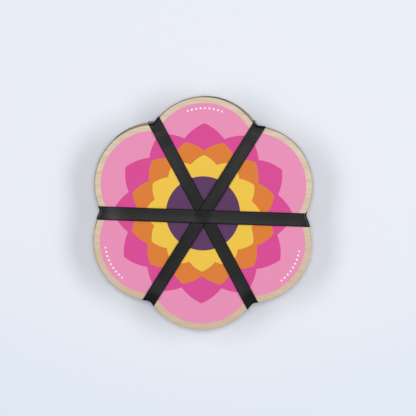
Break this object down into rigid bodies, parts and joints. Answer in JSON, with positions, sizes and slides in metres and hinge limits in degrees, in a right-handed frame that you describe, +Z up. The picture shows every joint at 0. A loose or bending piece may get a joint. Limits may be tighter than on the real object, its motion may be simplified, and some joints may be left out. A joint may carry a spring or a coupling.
{
  "type": "flower press",
  "caption": "Lobed plywood flower press: two boards squeeze corrugated cards and blotting papers, held shut by crossing elastic straps in the notches.",
  "frame": {"origin": "on the table under the middle of the press, at the lowest face of the outermost strap", "axes": "+Z up through the stack, +Y along two opposite lobes, +X along the outermost strap"},
  "size_m": [0.1688, 0.18, 0.0324],
  "materials": {
    "plywood": "sanded bare plywood with a laser-darkened edge",
    "printed_plywood": "plywood printed in matt ink up to a bare rim",
    "kraft_card": "brown corrugated kraft",
    "blotting_paper": "soft uncoated off-white",
    "elastic": "black woven elastic",
    "thread": "black sewing thread"
  },
  "bodies": {
    "base": {"bottom_board": "plywood", "card_1": "kraft_card", "blotter_1_lower": "blotting_paper", "strap_inner": "elastic", "strap_middle": "elastic", "strap_outer": "elastic", "seam_inner": "thread", "seam_middle": "thread", "seam_outer": "thread"},
    "leaf_1": {"blotter_1_upper": "blotting_paper", "card_2": "kraft_card", "blotter_2_lower": "blotting_paper"},
    "leaf_2": {"blotter_2_upper": "blotting_paper", "card_3": "kraft_card", "blotter_3_lower": "blotting_paper"},
    "leaf_3": {"blotter_3_upper": "blotting_paper", "card_4": "kraft_card", "blotter_4_lower": "blotting_paper"},
    "lid": {"blotter_4_upper": "blotting_paper", "card_5": "kraft_card", "top_board": "printed_plywood"}
  },
  "joints": [
    {"name": "lid_lift", "type": "slide", "parent": "base", "child": "lid", "axis": [0, 0, 1], "range_m": [0, 0.02], "stiffness_N_per_m": 400, "springref_m": -0.05, "deforming": ["strap_inner", "strap_middle", "strap_outer"]},
    {"name": "leaf_1_lift", "type": "slide", "parent": "base", "child": "leaf_1", "axis": [0, 0, 1], "range_m": [0, 0.005]},
    {"name": "leaf_2_lift", "type": "slide", "parent": "base", "child": "leaf_2", "axis": [0, 0, 1], "range_m": [0, 0.01]},
    {"name": "leaf_3_lift", "type": "slide", "parent": "base", "child": "leaf_3", "axis": [0, 0, 1], "range_m": [0, 0.015]}
  ],
  "couplings": [
    {"joint": "leaf_1_lift", "follows": "lid_lift", "ratio": 0.25},
    {"joint": "leaf_2_lift", "follows": "lid_lift", "ratio": 0.5},
    {"joint": "leaf_3_lift", "follows": "lid_lift", "ratio": 0.75}
  ]
}
